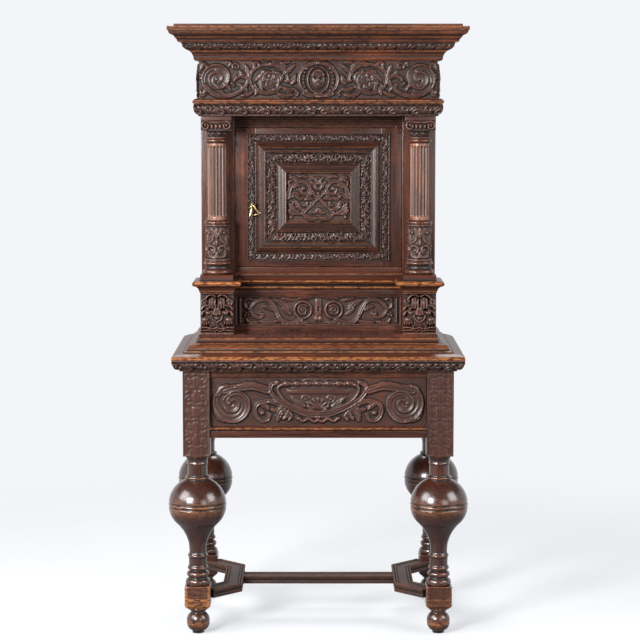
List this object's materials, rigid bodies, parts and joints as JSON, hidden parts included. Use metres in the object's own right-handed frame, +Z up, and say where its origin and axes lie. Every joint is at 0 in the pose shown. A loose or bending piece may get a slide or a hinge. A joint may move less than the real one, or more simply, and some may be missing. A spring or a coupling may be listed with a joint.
{
  "type": "cabinet on stand",
  "caption": "Carved dark oak cabinet on a stand: a cupboard door between columns above a drawer, on a table with bulbous turned legs, an apron drawer and bowed stretchers.",
  "frame": {"origin": "on the floor, under the middle of the four legs", "axes": "+X to the right seen from the front, +Y to the back, +Z up"},
  "size_m": [0.868, 0.588, 1.757],
  "materials": {
    "stained_oak": "dark stained oak with a worn satin wax",
    "carved_oak": "carved dark stained oak, waxed on its high parts",
    "inner_oak": "unfinished inner oak",
    "brass": "rubbed brass",
    "iron": "dull dark iron"
  },
  "bodies": {
    "cabinet": {"leg_front_left": "stained_oak", "leg_front_right": "stained_oak", "leg_rear_left": "stained_oak", "leg_rear_right": "stained_oak", "ball_feet": "stained_oak", "stretcher_left": "stained_oak", "stretcher_right": "stained_oak", "cross_stretcher": "stained_oak", "stand_rails": "stained_oak", "reeded_rail": "stained_oak", "lower_front_rail": "stained_oak", "stand_top": "stained_oak", "ledge_moulding": "stained_oak", "case_base": "stained_oak", "pedestals": "stained_oak", "pedestal_caps": "stained_oak", "front_rails": "stained_oak", "surbase_moulding": "stained_oak", "head_rail": "stained_oak", "pilasters": "stained_oak", "case_side_left": "stained_oak", "case_side_right": "stained_oak", "column_bases": "stained_oak", "column_shafts": "stained_oak", "cornice_crown": "stained_oak", "top_board": "stained_oak", "ceiling": "stained_oak", "table_edge_carving": "carved_oak", "lion_panels": "carved_oak", "column_drums": "carved_oak", "column_capitals": "carved_oak", "architrave": "carved_oak", "frieze": "carved_oak", "bed_moulding": "carved_oak", "stand_runners": "inner_oak", "cupboard_floor": "inner_oak", "shelf": "inner_oak", "battens_and_runners": "inner_oak", "case_back": "inner_oak"},
    "stand_drawer": {"stand_drawer_front": "carved_oak", "stand_drawer_lip": "stained_oak", "stand_drawer_sides": "inner_oak", "stand_drawer_back": "inner_oak", "stand_drawer_bottom": "inner_oak"},
    "door": {"door_frame": "stained_oak", "door_panel": "stained_oak", "door_carved_borders": "carved_oak", "door_mouldings": "stained_oak", "door_centre_panel": "carved_oak", "door_pivots": "brass", "door_lock": "iron", "door_plates": "iron"},
    "door_bolt": {"door_bolt": "iron"},
    "drop_pull": {"drop_pull": "brass"},
    "case_drawer": {"case_drawer_front": "carved_oak", "case_drawer_sides": "inner_oak", "case_drawer_back": "inner_oak", "case_drawer_bottom": "inner_oak", "case_drawer_lock": "iron"},
    "case_drawer_bolt": {"case_drawer_bolt": "iron"}
  },
  "joints": [
    {"name": "stand_drawer_slide", "type": "slide", "parent": "cabinet", "child": "stand_drawer", "axis": [0, -1, 0], "range_m": [0, 0.25]},
    {"name": "door_hinge", "type": "hinge", "parent": "cabinet", "child": "door", "pos_m": [0.2265, -0.096, 1.2625], "axis": [0, 0, 1], "range_deg": [0, 90]},
    {"name": "door_bolt_slide", "type": "slide", "parent": "door", "child": "door_bolt", "axis": [-1, 0, 0], "range_m": [0, 0.01]},
    {"name": "drop_pull_swing", "type": "hinge", "parent": "door", "child": "drop_pull", "pos_m": [-0.1915, -0.121, 1.2435], "axis": [-1, 0, 0], "range_deg": [0, 80]},
    {"name": "case_drawer_slide", "type": "slide", "parent": "cabinet", "child": "case_drawer", "axis": [0, -1, 0], "range_m": [0, 0.2]},
    {"name": "case_drawer_bolt_slide", "type": "slide", "parent": "case_drawer", "child": "case_drawer_bolt", "axis": [0, 0, 1], "range_m": [0, 0.009]}
  ]
}
